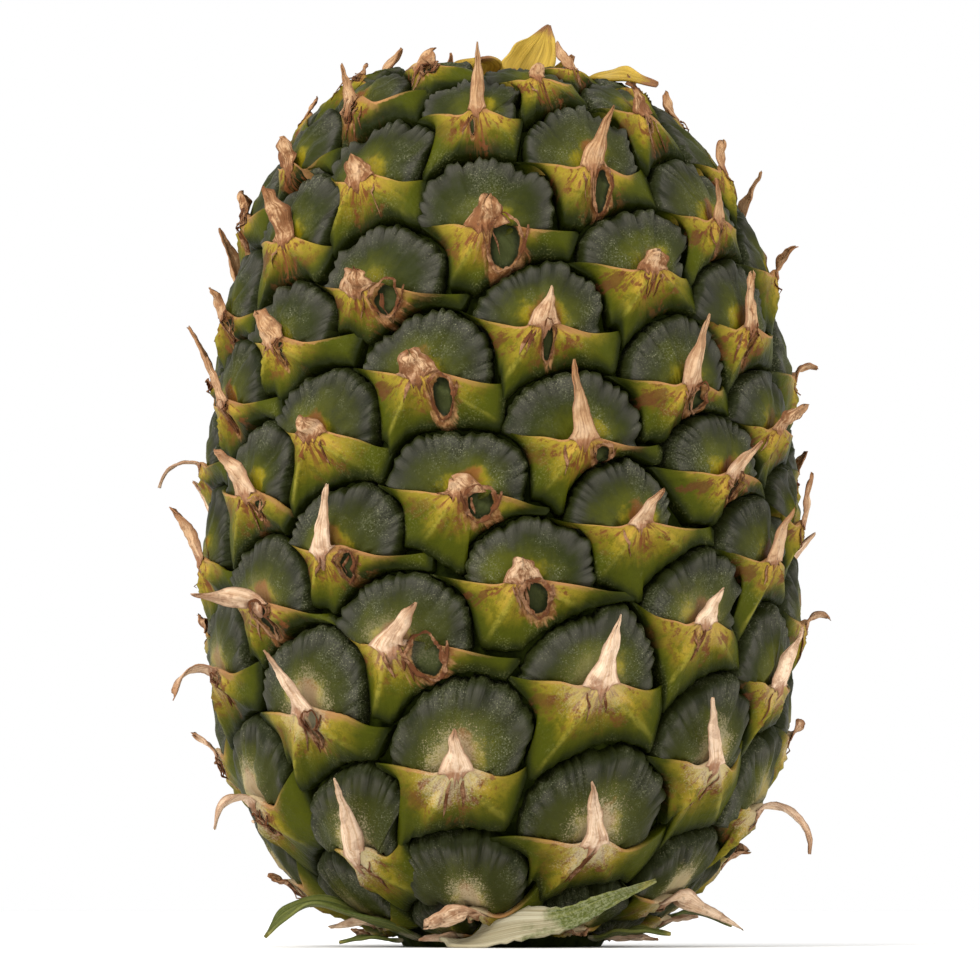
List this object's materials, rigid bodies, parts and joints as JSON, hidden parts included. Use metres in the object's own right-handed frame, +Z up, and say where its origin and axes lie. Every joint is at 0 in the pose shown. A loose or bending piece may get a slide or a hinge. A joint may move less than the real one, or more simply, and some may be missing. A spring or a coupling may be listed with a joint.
{
  "type": "pineapple",
  "caption": "Whole pineapple with its crown twisted off, standing on its cut stalk: spiral rows of domed eyes, each with a pointed bract and a dry tip.",
  "frame": {"origin": "middle of the cut stalk's flat face, on the surface that the fruit stands on", "axes": "+Z up along the core to the crown scar, front towards -Y, +X to the right seen from the front"},
  "size_m": [0.1282, 0.1241, 0.1825],
  "materials": {
    "rind": "dark grey-green domed rind with a faint pale bloom",
    "bract": "fleshy yellow-green bract with dark green edges",
    "dry_bract": "dry papery tan bract tip",
    "crown_leaf": "wilted yellow leaf base",
    "stalk_leaf": "green leathery leaf, spined edge",
    "stalk_cut": "dried fibrous cut stalk",
    "core_break": "broken fibrous core"
  },
  "bodies": {
    "root": {"fruit": "rind", "stalk_end": "stalk_cut", "crown_core": "core_break", "crown_leaf_tall": "crown_leaf", "crown_leaf_front": "crown_leaf", "crown_leaf_scrap": "crown_leaf", "crown_leaf_low": "crown_leaf", "crown_leaf_back": "crown_leaf", "crown_leaf_side": "crown_leaf", "stalk_leaf_left": "stalk_leaf", "stalk_leaf_thin": "stalk_leaf", "stalk_leaf_front": "stalk_leaf", "stalk_leaf_dark": "stalk_leaf", "stalk_leaf_right": "stalk_leaf", "stalk_leaf_back": "stalk_leaf", "stalk_leaf_behind": "stalk_leaf"}
  },
  "joints": []
}
